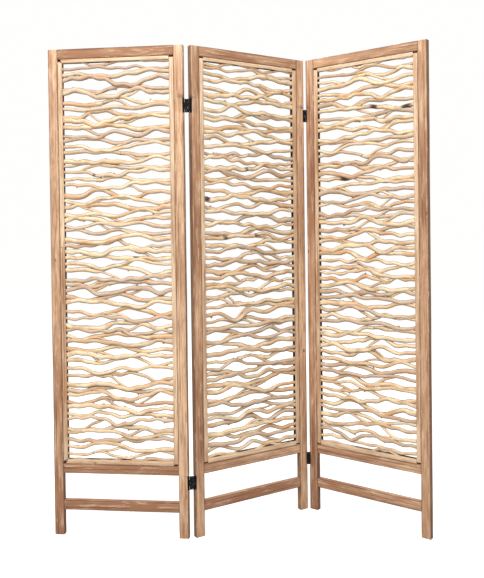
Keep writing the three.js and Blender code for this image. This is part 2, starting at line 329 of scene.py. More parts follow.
# %% [markdown]
# ## Pine
# Plantation pine shows broad growth rings that drift along the board, fine fibres, and
# knots that the rings flow round. The frames were stained a pinkish brown and wiped, so
# the stain sits dark in the late wood and in long streaks, and a pale wash is left in
# between. The rings are a sine of the distance across the board, bent by noise that is
# long in the grain's direction. A knot is a stretched cell that also pushes the rings
# aside. The frames and the battens use the same group with different colours.

# %% The grain group
RING_WIDTH = 0.0052
RING_SLOPE = 0.45
RING_DRIFT = 0.045
KNOT_PUSH = 0.012
KNOT_CELLS = (14.0, 22.0, 22.0)
EMPTY_CELLS = 0.86
GRAIN_INPUTS = {"Board": ("vector", None), "Ring width": ("float", RING_WIDTH)}
GRAIN_LABELS = ("Rings", "Fibre", "Patch", "Blotch", "Streak", "Knot", "Height")
GRAIN_OUTPUTS = {label: "float" for label in GRAIN_LABELS}


def knot_field(tree, board):
    """Distance to the nearest knot, with most of the cells left empty."""
    cells = node(tree, "VectorMath", {0: board, 1: KNOT_CELLS}, operation="MULTIPLY").outputs[0]
    voronoi = node(tree, "TexVoronoi", {"Vector": cells, "Scale": 1.0, "Randomness": 0.9})
    pick = node(tree, "SeparateColor", {0: voronoi.outputs["Color"]}).outputs[0]
    empty = calc(tree, "LESS_THAN", pick, EMPTY_CELLS)
    return calc(tree, "ADD", voronoi.outputs["Distance"], empty)


def make_grain_group():
    tree, start, end = new_group("pine grain", GRAIN_INPUTS, GRAIN_OUTPUTS)
    board = start["Board"]
    parts = node(tree, "SeparateXYZ", {0: board}).outputs
    knot_distance = knot_field(tree, board)
    drift = stretched(tree, board, (1.6, 9.0, 9.0), 2.0)
    bend = times(tree, drift, RING_DRIFT)
    push = times(tree, step_up(tree, knot_distance, 0.5, 0.0), KNOT_PUSH)
    slope = calc(tree, "MULTIPLY_ADD", parts[2], RING_SLOPE, parts[1])
    depth = calc(tree, "ADD", calc(tree, "ADD", slope, bend), push)
    turns = calc(tree, "DIVIDE", times(tree, depth, 2 * math.pi), start["Ring width"])
    wave = calc(tree, "MULTIPLY_ADD", calc(tree, "SINE", turns), 0.5, 0.5)
    late = calc(tree, "POWER", wave, 2.2)
    fibre = stretched(tree, board, (9.0, 420.0, 420.0), 3.0, 0.6)
    patch = stretched(tree, board, (3.2, 14.0, 14.0), 3.0, 0.55)
    blotch = stretched(tree, board, (13.0, 105.0, 105.0), 5.0, 0.70)
    lines = stretched(tree, board, (2.8, 150.0, 150.0), 3.0, 0.60)
    streak = step_up(tree, lines, 0.53, 0.64)
    knot = step_up(tree, knot_distance, 0.16, 0.05)
    relief = calc(tree, "MULTIPLY_ADD", fibre, 0.7, times(tree, late, 0.5))
    for label, value in zip(GRAIN_LABELS, (late, fibre, patch, blotch, streak, knot, relief)):
        tree.links.new(value, end[label])
    return tree


GRAIN = make_grain_group()

# %% [markdown]
# ## Worn and shaded edges
# Hands, packing and sanding rub the stain off the arrises. Beside them a darker line is
# painted: painted shade along the edges, and partly stain that gathers there. The stored edge
# value is 1 on a face of the board, so the product of its two sideways parts is near 1 only
# along an arris. Noise breaks the line up into paler lengths of wear and darker lengths of
# painted shade. The same group serves the frames and the battens.

# %% The edge wear group


def make_wear_and_shade_group():
    inputs = {"Edge": ("vector", None), "Board": ("vector", None), "Amount": ("float", 0.5)}
    tree, start, end = new_group("edge wear and shade", inputs, {"Rubbed": "float", "Grime and shade": "float"})
    sides = node(tree, "VectorMath", {0: start["Edge"]}, operation="ABSOLUTE").outputs[0]
    parts = node(tree, "SeparateXYZ", {0: sides}).outputs
    corner = times(tree, parts[1], parts[2])
    rough = stretched(tree, start["Board"], (16.0, 70.0, 70.0), 5.0, 0.7)
    broken = step_up(tree, rough, 0.53, 0.66)
    near = step_up(tree, corner, 0.88, 0.98)
    beside = step_up(tree, corner, 0.74, 0.97)
    pale_patches = times(tree, times(tree, near, broken), start["Amount"], clamp=True)
    unbroken = calc(tree, "SUBTRACT", 1.0, broken)
    # A darker line beside the arris: painted shade along the edges, and stain that gathers there.
    grime_and_shade = times(tree, times(tree, beside, unbroken), start["Amount"], clamp=True)
    tree.links.new(pale_patches, end["Rubbed"])
    tree.links.new(grime_and_shade, end["Grime and shade"])
    return tree


WEAR_AND_SHADE = make_wear_and_shade_group()

# %% Wood materials
KNOT_BROWN = (0.085, 0.030, 0.014, 1)
# Painted shade for the narrow faces of the frame.
SIDE_SHADE_BROWN = (0.085, 0.045, 0.028, 1)
# Painted shade for the groove behind the front battens.
GROOVE_SHADE_BROWN = (0.034, 0.019, 0.011, 1)


def wood_material(name, light, deep, streak, wash, contrast, wear):
    """Stained pine: light and deep are little and much stain, streak is stain in the pores."""
    material, tree, shader = new_material(name)
    board = attribute(tree, "board")
    edge = attribute(tree, "edge")
    stain = node(tree, "SeparateXYZ", {0: attribute(tree, "stain")}).outputs
    grain = use_group(tree, GRAIN, {"Board": board, "Ring width": RING_WIDTH})
    worn_and_shaded = use_group(tree, WEAR_AND_SHADE, {"Edge": edge, "Board": board, "Amount": wear})
    uneven = calc(tree, "MULTIPLY_ADD", grain["Patch"], 2.1, -1.05)
    amount = calc(tree, "ADD", stain[0], uneven, clamp=True)
    color = mix(tree, amount, light, deep)
    streaks = times(tree, grain["Streak"], calc(tree, "MULTIPLY_ADD", amount, 0.45, 0.26))
    # Painted shade on the rear battens where they face the groove, broken up by the blotch noise.
    groove_shade = times(tree, stain[1], step_up(tree, grain["Blotch"], 0.36, 0.58, 0.55, 0.97))
    for mask, tint in (
        (times(tree, grain["Rings"], contrast), deep),
        (step_up(tree, grain["Blotch"], 0.50, 0.66, 0.0, 0.72), deep),
        (step_up(tree, grain["Blotch"], 0.48, 0.34, 0.0, 0.55), wash),
        (step_up(tree, grain["Fibre"], 0.45, 0.68, 0.0, 0.60), deep),
        (streaks, streak),
        (times(tree, grain["Knot"], 0.85), KNOT_BROWN),
        # Painted shade along the arrises, with some stain gathered there.
        (worn_and_shaded["Grime and shade"], streak),
        (worn_and_shaded["Rubbed"], wash),
        # Painted shade on the frame's narrow faces.
        (times(tree, stain[2], 0.55), SIDE_SHADE_BROWN),
        (groove_shade, GROOVE_SHADE_BROWN),
    ):
        color = mix(tree, mask, color, tint)
    tree.links.new(color, shader.inputs["Base Color"])
    roughness = step_up(tree, grain["Rings"], 0.0, 1.0, 0.74, 0.60)
    tree.links.new(roughness, shader.inputs["Roughness"])
    bump = node(tree, "Bump", {"Strength": 0.45, "Distance": 0.0007, "Height": grain["Height"]})
    tree.links.new(bump.outputs[0], shader.inputs["Normal"])
    shader.inputs["Specular IOR Level"].default_value = 0.3
    return material


FRAME_PINE = wood_material(
    "frame pine",
    light=(0.86, 0.58, 0.365, 1),
    deep=(0.335, 0.162, 0.086, 1),
    streak=(0.125, 0.050, 0.026, 1),
    wash=(0.82, 0.62, 0.46, 1),
    contrast=0.46,
    wear=0.75,
)
BATTEN_PINE = wood_material(
    "batten pine",
    light=(0.88, 0.69, 0.475, 1),
    deep=(0.46, 0.255, 0.140, 1),
    streak=(0.26, 0.12, 0.06, 1),
    wash=(0.90, 0.75, 0.56, 1),
    contrast=0.35,
    wear=0.6,
)
print("materials", FRAME_PINE.name, BATTEN_PINE.name)

# %% [markdown]
# ## Frame timber
# A stile is one length of 34 by 20 mm pine, and its lower end is the leg. The rails fit
# between the stiles. A plain box would do for the shape, but sawn and planed stock has
# eased arrises and is never quite straight, and light catches exactly there. So each
# member starts as a cube, gets rounded edges, is sliced along its length, and is then
# moved by a fraction of a millimetre of slow noise. Hinged stiles also get a recess, the
# gain, for each hinge leaf. It runs from the front of the stile to its back, so two close
# slices mark each of its ends, and the side of the stile between them is pushed in.

# %% Make the timber
ARRIS = 0.0013
SLICE = 0.055
WANDER = 0.00045
WANDER_RATE = 5.0
DENT_SHARE = 0.4
DENT_RATE = Vector((30.0, 60.0))
SEED_STEP = 3.1
NOISE_SEED = 1
HINGE_LEVELS = {"lower": 0.190, "upper": 1.493}
HINGE_HEIGHT = 0.050
LEAF_WIDTH = 0.019
LEAF_THICKNESS = 0.0015
LEAF_SEAT = 0.002
GAIN_DEPTH = LEAF_SEAT + LEAF_THICKNESS + PLAY
GAIN_WALL = 0.00004
# How much stain each member drank, at its lower or left end and at its other end.
MEMBERS = ("left_stile", "right_stile", "top_rail", "bottom_rail", "stretcher")
STAINS = {
    "left": ((0.88, 0.24), (0.36, 0.16), (0.86, 1.04), (0.92, 0.98), (1.14, 1.04)),
    "middle": ((0.74, 0.56), (0.42, 0.30), (0.80, 0.60), (0.72, 0.44), (0.96, 0.72)),
    "right": ((0.86, 0.76), (0.82, 0.34), (0.50, 0.70), (0.82, 0.55), (0.94, 0.82)),
}
TIMBER_STAIN = {panel: dict(zip(MEMBERS, STAINS[panel])) for panel in PANELS}


# noise_vector draws its offsets from this seed, so every board comes out the same each time.
noise.seed_set(NOISE_SEED)


def wander(bm, axis, seed):
    """Slow, small unevenness across the board, as planed pine has."""
    for vert in bm.verts:
        at = vert.co[axis]
        drift = noise.noise_vector(Vector((at * WANDER_RATE, seed, 0.3)))
        dents = noise.noise_vector(Vector((at * DENT_RATE.x, vert.co.y * DENT_RATE.y, seed)))
        move = drift * WANDER + dents * WANDER * DENT_SHARE
        move[axis] = 0
        vert.co += move


def cut_gains(bm, side_x, edge):
    """Cuts the gains into the side face at side_x, which looks along edge."""
    half = HINGE_HEIGHT / 2 + PLAY
    for level in HINGE_LEVELS.values():
        low, high = level - half, level + half
        slice_along(bm, 2, [low - GAIN_WALL, low, high, high + GAIN_WALL])
        inside = [
            vert
            for vert in bm.verts
            if low - GAIN_WALL / 2 < vert.co.z < high + GAIN_WALL / 2
            and abs(vert.co.x - side_x) < 1.5 * ARRIS
        ]
        bmesh.ops.translate(bm, vec=Vector((-edge * GAIN_DEPTH, 0, 0)), verts=inside)


def timber(panel, part, x, z, along, hinged_edge=0):
    node_name = f"{panel}_panel_{part}"
    low = Vector((x[0], -THICKNESS / 2, z[0]))
    high = Vector((x[1], THICKNESS / 2, z[1]))
    bm = block(low, high)
    soften(bm, ARRIS)
    axis = "xyz".index(along)
    length = high[axis] - low[axis]
    cuts = int(length / SLICE)
    slice_along(bm, axis, [low[axis] + length * (i + 1) / (cuts + 1) for i in range(cuts)])
    if hinged_edge:
        cut_gains(bm, x[1] if hinged_edge > 0 else x[0], hinged_edge)
    number = next(board_numbers)
    # Painted shade: both narrow faces of stiles and top rails, and the underside of the bottom
    # rail and the stretcher.
    shaded_sides = (-1,) if part in ("bottom_rail", "stretcher") else (-1, 1)
    mark_board(bm, low, high, along, number, TIMBER_STAIN[panel][part], shaded_sides=shaded_sides)
    wander(bm, axis, SEED_STEP * number)
    shade(bm)
    return piece(
        f"{node_name}_timber", bm, STANDS[panel], f"{panel}_panel",
        FRAME_PINE, node_name,
    )


RIGHT_STILE_X = (OPEN_X[1], PANEL_WIDTH)
RAIL_X = (OPEN_X[0] + PLAY, OPEN_X[1] - PLAY)
HINGED = {"left": (0, 1), "middle": (-1, 1), "right": (-1, 0)}

timbers = []
for panel in PANELS:
    left_edge, right_edge = HINGED[panel]
    timbers += [
        timber(panel, "left_stile", (0, STILE_WIDTH), (0, HEIGHT), "z", left_edge),
        timber(panel, "right_stile", RIGHT_STILE_X, (0, HEIGHT), "z", right_edge),
        timber(panel, "top_rail", RAIL_X, TOP_RAIL, "x"),
        timber(panel, "bottom_rail", RAIL_X, BOTTOM_RAIL, "x"),
        timber(panel, "stretcher", RAIL_X, STRETCHER, "x"),
    ]
print("timbers", len(timbers), "faces each about", len(timbers[0].data.polygons))

# %% [markdown]
# ## Battens
# Thin battens line the opening, front and back, and pinch the twig ends. They were cut
# by eye. At most front corners the side batten runs through and stops short of the rail,
# which leaves a dark notch. At the left end of the screen they meet in a loose mitre that
# gapes towards the frame, and the batten there is pieced from two lengths. The rear ones
# have closed mitres. Each starts as a block; the vertices at an end are moved to cut it,
# and then the edges are rounded.

# %% Make the battens
BATTEN_SIDE = 0.016
BATTEN_TOP = 0.013
BATTEN_BOTTOM = 0.016
BATTEN_THICK = 0.004
BATTEN_RECESS = 0.0006
BATTEN_ARRIS = 0.0011
CORNER_GAP = 0.0085
CORNER_NOTCH = 0.0055
MITRED = {("left", "left")}
PIECED_AT = 1.010
BATTEN_STAIN = {
    "left_panel_front_bead_left_lower": 0.80,
    "left_panel_front_bead_left_upper": 0.12,
    "left_panel_front_bead_right": 0.34,
    "middle_panel_front_bead_left": 0.48,
    "middle_panel_front_bead_right": 0.55,
    "right_panel_front_bead_left": 0.58,
    "right_panel_front_bead_right": 0.40,
}
USUAL_BATTEN_STAIN = 0.22


def mitre(bm, axis, end, across, outer, gape, reach):
    """Cuts one end: the vertices on the outer line move by gape, the inner ones by reach."""
    other = "xz".index(across) * 2
    for vert in bm.verts:
        if abs(vert.co[axis] - end) < 1e-5:
            on_outer = abs(vert.co[other] - outer) < 1e-4
            vert.co[axis] += gape if on_outer else reach


def batten(panel, part, front, x, z, along, mitres, outer, replaced=True):
    face = THICKNESS / 2 - BATTEN_RECESS
    y = (-face, BATTEN_THICK - face) if front else (face - BATTEN_THICK, face)
    low = Vector((x[0], y[0], z[0]))
    high = Vector((x[1], y[1], z[1]))
    bm = block(low, high)
    axis = "xyz".index(along)
    across = "z" if along == "x" else "x"
    for end, gape, reach in mitres:
        mitre(bm, axis, end, across, outer, gape, reach)
    soften(bm, BATTEN_ARRIS, 2)
    length = high[axis] - low[axis]
    cuts = int(length / SLICE)
    slice_along(bm, axis, [low[axis] + length * (i + 1) / (cuts + 1) for i in range(cuts)])
    number = next(board_numbers)
    name = f"{panel}_panel_{part}"
    stain = BATTEN_STAIN.get(name, USUAL_BATTEN_STAIN)
    # Rear battens get painted shade on their faces in the groove; front ones get none.
    groove_shade_above = None if front else y[0] + 0.3 * BATTEN_THICK
    mark_board(bm, low, high, along, number, (stain, stain), groove_shade_above)
    wander(bm, axis, SEED_STEP * number)
    shade(bm)
    return piece(
        f"{name}_batten", bm, STANDS[panel], f"{panel}_panel", BATTEN_PINE,
        name if replaced else None,
    )


def corner_cut(panel, side, front, reach, butt):
    """How far a batten's outer and inner line stop short of the corner."""
    if not front:
        return PLAY, reach
    return (CORNER_GAP, reach) if (panel, side) in MITRED else (butt, butt)


def side_batten(panel, part, side, front, low_z, high_z, loose=(True, True)):
    if side == "right":
        x = (OPEN_X[1] - BATTEN_SIDE, OPEN_X[1] - PLAY)
    else:
        x = (OPEN_X[0] + PLAY, OPEN_X[0] + BATTEN_SIDE)
    outer = x[1] if side == "right" else x[0]
    mitres = []
    if loose[0]:
        gape, reach = corner_cut(panel, side, front, BATTEN_BOTTOM + PLAY, CORNER_NOTCH)
        mitres.append((low_z, gape, reach))
    if loose[1]:
        gape, reach = corner_cut(panel, side, front, BATTEN_TOP + PLAY, CORNER_NOTCH)
        mitres.append((high_z, -gape, -reach))
    return batten(panel, part, front, x, (low_z, high_z), "z", mitres, outer)


def cross_batten(panel, part, top, front, replaced=True):
    if top:
        z = (OPEN_Z[1] - BATTEN_TOP, OPEN_Z[1] - PLAY)
    else:
        z = (OPEN_Z[0] + PLAY, OPEN_Z[0] + BATTEN_BOTTOM)
    outer = z[1] if top else z[0]
    inner = BATTEN_SIDE + PLAY
    mitres = []
    for side, end, way in (("left", OPEN_X[0], 1), ("right", OPEN_X[1], -1)):
        gape, reach = corner_cut(panel, side, front, inner, inner)
        mitres.append((end, way * gape, way * reach))
    return batten(panel, part, front, OPEN_X, z, "x", mitres, outer, replaced)


battens = []
for panel in PANELS:
    battens += [
        cross_batten(panel, "front_bead_top", True, True),
        cross_batten(panel, "front_bead_bottom", False, True),
        side_batten(panel, "front_bead_right", "right", True, *OPEN_Z),
        side_batten(panel, "rear_bead_left", "left", False, *OPEN_Z),
        side_batten(panel, "rear_bead_right", "right", False, *OPEN_Z),
        cross_batten(panel, "rear_bead_top", True, False, False),
        cross_batten(panel, "rear_bead_bottom", False, False, False),
    ]
    if panel == "left":
        for part, ends, loose in (
            ("front_bead_left_lower", (OPEN_Z[0], PIECED_AT), (True, False)),
            ("front_bead_left_upper", (PIECED_AT + PLAY, OPEN_Z[1]), (False, True)),
        ):
            battens.append(side_batten(panel, part, "left", True, *ends, loose))
    else:
        battens.append(side_batten(panel, "front_bead_left", "left", True, *OPEN_Z))
print("battens", len(battens))

# %% [markdown]
# ## Twigs
# The branches are peeled and dried, about as thick as a finger, and no two are alike.
# They are laid in rows about 23 mm apart, sway up and down two or three times on their
# way across, and lean on each other here and there, which leaves lens-shaped gaps. The
# rows come from a small, seeded generator, so the same twigs grow every time, and they
# run where the frame's own plain twig solids run. Each row has seven heights across the
# opening. A smooth curve through them gives the branch, and smaller wobbles and kinks
# are added on top.

# %% Lay out the rows
TWIG_ROWS = 62
TWIG_SPANS = 6
TWIG_END_GAP = 0.003
TWIG_EDGE_ROWS = 2
TWIG_EDGE_MARGIN = 0.008
TWIG_SEEDS = {"left": 1789, "middle": 4271, "right": 9157}
TWIG_LEAN = 0.22
SOLID_RADIUS = (0.0045, 0.0051)
END_SPREAD = 0.007
SWAY = (0.005, 0.013)
SWAY_CYCLES = (1.3, 2.6)
SWAY_TURN = 1.5
SWAY_JITTER = 0.003


def random_from(seed):
    state = [seed]

    def draw():
        state[0] = (state[0] * 16807) % 2147483647
        return state[0] / 2147483647

    return draw


def between(draw, low, high):
    return low + draw() * (high - low)


def lean_together(rows, draw):
    station = 1
    for lower, upper in zip(rows, rows[1:]):
        station = 1 + ((station + 1 + (0 if draw() < 0.5 else 1)) % (TWIG_SPANS - 1))
        middle = (lower["heights"][station] + upper["heights"][station]) / 2
        apart = TWIG_LEAN * (lower["radius"] + upper["radius"])
        lower["heights"][station] = middle - apart
        upper["heights"][station] = middle + apart
    low = OPEN_Z[0] + TWIG_EDGE_MARGIN
    high = OPEN_Z[1] - TWIG_EDGE_MARGIN
    for row in rows:
        row["heights"] = [min(high, max(low, height)) for height in row["heights"]]


def twig_rows(seed):
    draw = random_from(seed)
    pitch = (OPEN_Z[1] - OPEN_Z[0]) / TWIG_ROWS
    phase = draw() * 2 * math.pi
    rows = []
    for i in range(TWIG_ROWS):
        level = OPEN_Z[0] + (i + 0.5) * pitch
        start = level + between(draw, -END_SPREAD, END_SPREAD)
        end = level + between(draw, -END_SPREAD, END_SPREAD)
        wave = between(draw, *SWAY)
        cycles = between(draw, *SWAY_CYCLES)
        phase += between(draw, -SWAY_TURN, SWAY_TURN)
        radius = between(draw, *SOLID_RADIUS)
        heights = []
        for k in range(TWIG_SPANS + 1):
            s = k / TWIG_SPANS
            fade = math.sqrt(max(0.0, math.sin(math.pi * s)))
            sway = wave * math.sin(2 * math.pi * cycles * s + phase)
            sway += between(draw, -SWAY_JITTER, SWAY_JITTER)
            off_line = 0 if k % TWIG_SPANS == 0 else fade * sway
            heights.append(start + (end - start) * s + off_line)
        rows.append({"radius": radius, "heights": heights})
    lean_together(rows, draw)
    return rows


ROWS = {panel: twig_rows(TWIG_SEEDS[panel]) for panel in PANELS}
print("rows", {panel: len(rows) for panel, rows in ROWS.items()})

# %% [markdown]
# A branch starts as a straight stick: `create_cone` with two equal radii makes it, and
# `subdivide_edges` cuts it into rings. The stick is then bent: each ring is moved onto
# the branch's path, and swells where there is a knot. Drawing the shape this way keeps
# every branch one closed skin. Each vertex also stores where it lies along and around
# its own branch, for the fibres, and how orange, grey or dark the wood is there.

# %% Bend a stick into a branch
TWIG_SIDES = 9
TWIG_CUTS = 52
TWIG_DEPTH = 0.0026
GROOVE_HALF = 0.0052
BULGE_HALF = 0.0093
SKIN = 0.006
AHEAD = 0.008
KINK_RATE = 11.0
DRIFT = 0.0012
DRIFT_RATE = 6.0
SWELL = 0.13
SWELL_RATE = 16.0
OUT_OF_ROUND = 0.10
OUT_OF_ROUND_RATE = 9.0
KNOT_REACH = 1.5
GROOVE_SHARE = 0.04
FREE_SHARE = 0.10


def through(values, s):
    """A smooth (Catmull-Rom) curve through evenly spaced values, at s from 0 to 1."""
    spans = len(values) - 1
    at = min(max(s, 0.0) * spans, spans - 1e-6)
    i = int(at)
    t = at - i
    here, there = values[i], values[i + 1]
    before = values[i - 1] if i > 0 else 2 * here - there
    after = values[i + 2] if i + 2 <= spans else 2 * there - here
    square = 2 * before - 5 * here + 4 * there - after
    cube = 3 * here - before - 3 * there + after
    return 0.5 * (2 * here + (there - before) * t + square * t * t + cube * t * t * t)


def across(s):
    return OPEN_X[0] + TWIG_END_GAP + s * (OPEN_X[1] - OPEN_X[0] - 2 * TWIG_END_GAP)


def branch_point(branch, s):
    """The middle of the branch: its row's sway with the branch's own ripples and kinks."""
    fade = min(1.0, 8 * s, 8 * (1 - s))
    ripple = branch.ripple * math.sin(2 * math.pi * branch.ripples * s + branch.turn)
    kink = branch.kink * noise.noise(Vector((s * KINK_RATE, branch.grain, 0.0)))
    drift = DRIFT * noise.noise(Vector((s * DRIFT_RATE, branch.grain, 9.0)))
    height = branch.height(s) + fade * (ripple + kink)
    return Vector((across(s), branch.depth * math.sin(math.pi * s) + fade * drift, height))


def branch_radius(branch, s, angle):
    """Taper, slow swelling, a section that is not quite round, and a bulge at each knot."""
    radius = branch.radius * (1 + branch.taper * (s - 0.5))
    around = Vector((math.cos(angle), math.sin(angle)))
    swell = 1 + SWELL * noise.noise(Vector((s * SWELL_RATE, branch.grain, 4.0)))
    uneven = Vector((s * OUT_OF_ROUND_RATE, around.x, around.y + branch.grain))
    swell += OUT_OF_ROUND * noise.noise(uneven)
    for knot in branch.knots:
        reach = (across(s) - across(knot.at)) / (KNOT_REACH * branch.radius)
        facing = 0.5 + 0.5 * math.cos(angle - knot.angle)
        swell += knot.size * facing * math.exp(-reach * reach)
    return radius * swell


def skin_point(branch, frame_at, s, angle):
    """A point on the bark, kept inside the groove near the ends and the panel elsewhere."""
    centre, side, up = frame_at
    radius = branch_radius(branch, s, angle)
    point = centre + (side * math.cos(angle) + up * math.sin(angle)) * radius
    free = min(1.0, max(0.0, (min(s, 1 - s) - GROOVE_SHARE) / FREE_SHARE))
    room = GROOVE_HALF + (BULGE_HALF - GROOVE_HALF) * free
    point.y = max(-room, min(room, point.y))
    return point


def ring_frame(branch, s):
    ahead = branch_point(branch, s + AHEAD)
    behind = branch_point(branch, s - AHEAD)
    forward = (ahead - behind).normalized()
    up = forward.cross(Vector((0, 1, 0))).normalized()
    return branch_point(branch, s), up.cross(forward).normalized(), up


def darkness(branch, s):
    fades = [1 - min(1.0, abs(s - spot.at) / spot.reach) ** 4 for spot in branch.dark]
    return max(fades, default=0.0)


def new_stick(sides, cuts):
    """A closed stick of radius 1 from z = 0 to z = 1, cut into rings, with room for its values."""
    bm = bmesh.new()
    along = bm.verts.layers.float_vector.new("along")
    tone = bm.verts.layers.float_vector.new("tone")
    bmesh.ops.create_cone(bm, cap_ends=True, segments=sides, radius1=1, radius2=1, depth=1)
    bmesh.ops.translate(bm, vec=(0, 0, 0.5), verts=bm.verts)
    lengthwise = [
        edge
        for edge in bm.edges
        if abs(edge.verts[0].co.z - edge.verts[1].co.z) > 0.5
    ]
    bmesh.ops.subdivide_edges(bm, edges=lengthwise, cuts=cuts, use_grid_fill=True)
    return bm, along, tone


def bend_branch(whole, branch, sides=TWIG_SIDES, cuts=TWIG_CUTS):
    bm, along, tone = new_stick(sides, cuts)
    rings = {}
    for vert in bm.verts:
        angle = math.atan2(vert.co.y, vert.co.x)
        s = branch.start + (branch.stop - branch.start) * vert.co.z
        key = round(s, 5)
        if key not in rings:
            rings[key] = ring_frame(branch, s)
        vert.co = skin_point(branch, rings[key], s, angle)
        around = Vector((math.cos(angle), math.sin(angle))) * SKIN
        vert[along] = Vector((across(s) + branch.grain, around.x, around.y))
        vert[tone] = Vector((branch.tone.x, branch.tone.y, darkness(branch, s)))
    append(whole, bm)


print("one branch has", TWIG_SIDES * (TWIG_CUTS + 1) + 2, "faces")

# %% [markdown]
# Every branch gets its own habit: how thick it is, which way it tapers, how it ripples,
# where its knots are. A few branches are weathered grey or have a dark, broken stretch.
# Most branches fork: a thinner arm leaves one row and dives to the next, which gives the
# crossings. Where a side shoot was trimmed off, a short stub is left. The first table
# holds (orange, grey) by row for the rows that stand out, the second one (place, reach)
# of each dark stretch, as shares of the row.

# %% Give every branch its habit
RADIUS_RANGE = (0.0059, 0.0083)
ROW_TONES = {
    "left": {60: (0.1, 0.95), 59: (0.2, 0.35), 33: (0.5, 0.5), 28: (0.2, 0.6)},
    "middle": {47: (0.2, 0.7), 30: (0.3, 0.6), 12: (0.2, 0.5)},
    "right": {49: (0.5, 0.5), 41: (0.3, 0.7), 22: (0.2, 0.5)},
}
DARK_STRETCHES = {
    "left": {31: [(0.66, 0.03)], 44: [(0.30, 0.015)]},
    "middle": {45: [(0.47, 0.02)], 34: [(0.24, 0.02), (0.55, 0.02)], 40: [(0.06, 0.03)]},
    "right": {54: [(0.60, 0.04), (0.90, 0.05)], 52: [(0.62, 0.02)], 43: [(0.30, 0.05)]},
}


def new_knots(draw, most):
    count = int(draw() * (most + 1))
    return [
        SimpleNamespace(
            at=between(draw, 0.06, 0.94),
            angle=draw() * 2 * math.pi,
            size=between(draw, 0.15, 0.55),
        )
        for _ in range(count)
    ]


def new_branch(draw, height, index):
    orange = max(0.0, between(draw, -0.15, 0.90))
    grey = max(0.0, between(draw, -0.55, 0.75))
    edge_row = index < TWIG_EDGE_ROWS or index >= TWIG_ROWS - TWIG_EDGE_ROWS
    return SimpleNamespace(
        height=height,
        start=0.0,
        stop=1.0,
        depth=0.0 if edge_row else TWIG_DEPTH * (-1 if index % 2 == 0 else 1),
        radius=between(draw, *RADIUS_RANGE) * (0.8 if edge_row else 1.0),
        taper=between(draw, -0.45, 0.45),
        ripple=between(draw, 0.0010, 0.0032),
        ripples=between(draw, 3.2, 6.8),
        kink=between(draw, 0.001, 0.006),
        turn=draw() * 2 * math.pi,
        grain=between(draw, 1.0, 60.0),
        knots=new_knots(draw, 5),
        tone=Vector((orange, grey, 0.0)),
        dark=[],
    )


def row_branch(panel, draw, row, index):
    branch = new_branch(draw, lambda s: through(row["heights"], s), index)
    if index in ROW_TONES[panel]:
        branch.tone.xy = ROW_TONES[panel][index]
    stretches = DARK_STRETCHES[panel].get(index, [])
    branch.dark = [SimpleNamespace(at=at, reach=reach) for at, reach in stretches]
    return branch


def fork_branch(draw, lower, upper, index):
    """A thinner arm that leaves one branch and runs into the next one."""
    rising = draw() < 0.5
    first, last = (lower, upper) if rising else (upper, lower)
    start = between(draw, *ARM_START)
    stop = start + between(draw, *ARM_LENGTH)

    def height(s):
        t = min(1.0, max(0.0, (s - start) / (stop - start)))
        t = t * t * (3 - 2 * t)
        return (1 - t) * branch_point(first, s).z + t * branch_point(last, s).z

    arm = new_branch(draw, height, index)
    arm.start = start
    arm.stop = stop
    arm.radius = between(draw, *ARM_RADIUS)
    arm.depth = 0.5 * (first.depth + last.depth)
    arm.ripple = 0.0
    arm.kink = ARM_KINK
    arm.knots = new_knots(draw, 1)
    return arm


FORK_SHARE = 0.85
ARM_START = (0.10, 0.60)
ARM_LENGTH = (0.20, 0.38)
ARM_RADIUS = (0.0038, 0.0056)
ARM_KINK = 0.002
ARM_SIDES = 7
ARM_CUTS = 14
HABIT_SEEDS = {"left": 60013, "middle": 81817, "right": 23027}


def panel_branches(panel, draw):
    rows = [row_branch(panel, draw, row, i) for i, row in enumerate(ROWS[panel])]
    arms = [
        fork_branch(draw, lower, upper, i)
        for i, (lower, upper) in enumerate(zip(rows, rows[1:]))
        if draw() < FORK_SHARE and 0 < i < TWIG_ROWS - 2
    ]
    return rows, arms


# %% Trimmed side shoots
STUB_SIDES = 6
STUB_CUTS = 2
STUB_LENGTH = (0.004, 0.010)
STUB_THICK = (0.38, 0.62)
STUB_ALONG = (0.5, 1.4)
STUB_ASIDE = (-0.3, 0.3)
STUB_CHANCE = 0.55


def add_stub(whole, branch, knot, draw):
    """A cut side shoot that leans out of the branch at a knot."""
    centre, side, up = ring_frame(branch, knot.at)
    sign = 1 if math.sin(knot.angle) > 0 else -1
    forward = up.cross(side) * (1 if draw() < 0.5 else -1)
    lean = up * sign + forward * between(draw, *STUB_ALONG) + side * between(draw, *STUB_ASIDE)
    length = branch.radius * 0.7 + between(draw, *STUB_LENGTH)
    turn = lean.normalized().to_track_quat("Z", "Y").to_matrix()
    thick = branch.radius * between(draw, *STUB_THICK)
    bm, along, tone = new_stick(STUB_SIDES, STUB_CUTS)
    for vert in bm.verts:
        s = vert.co.z
        flat = Vector((vert.co.x, vert.co.y, 0)) * thick * (1.25 - 0.45 * s)
        flat.z = s * length
        vert.co = centre + turn @ flat
        vert.co.y = max(-BULGE_HALF, min(BULGE_HALF, vert.co.y))
        vert[along] = Vector((s * length + branch.grain, flat.x, flat.y))
        vert[tone] = Vector((branch.tone.x, branch.tone.y, 0.45 * s * s))
    append(whole, bm)


# %% [markdown]
# Peeled, dried branches are cream where the sapwood shows. They go orange and tan where
# inner bark was left on, and grey-mauve where they lay in the weather. Fine fibres run
# along each branch and darker specks sit at old buds. A Layer Weight node paints each branch
# darker where it turns away from the eye, which is painted shade along its outline. The
# stored values pick the blend, so one material serves every branch.

# %% Twig material
CREAM = (0.87, 0.70, 0.475, 1)
TAN = (0.62, 0.415, 0.24, 1)
INNER_BARK = (0.66, 0.36, 0.165, 1)
WEATHERED = (0.47, 0.335, 0.265, 1)
FIBRE_BROWN = (0.42, 0.24, 0.11, 1)
BUD_BROWN = (0.16, 0.08, 0.04, 1)
ROTTEN = (0.050, 0.030, 0.020, 1)
# Painted shade along the outline of each branch.
OUTLINE_SHADE = (0.15, 0.105, 0.072, 1)


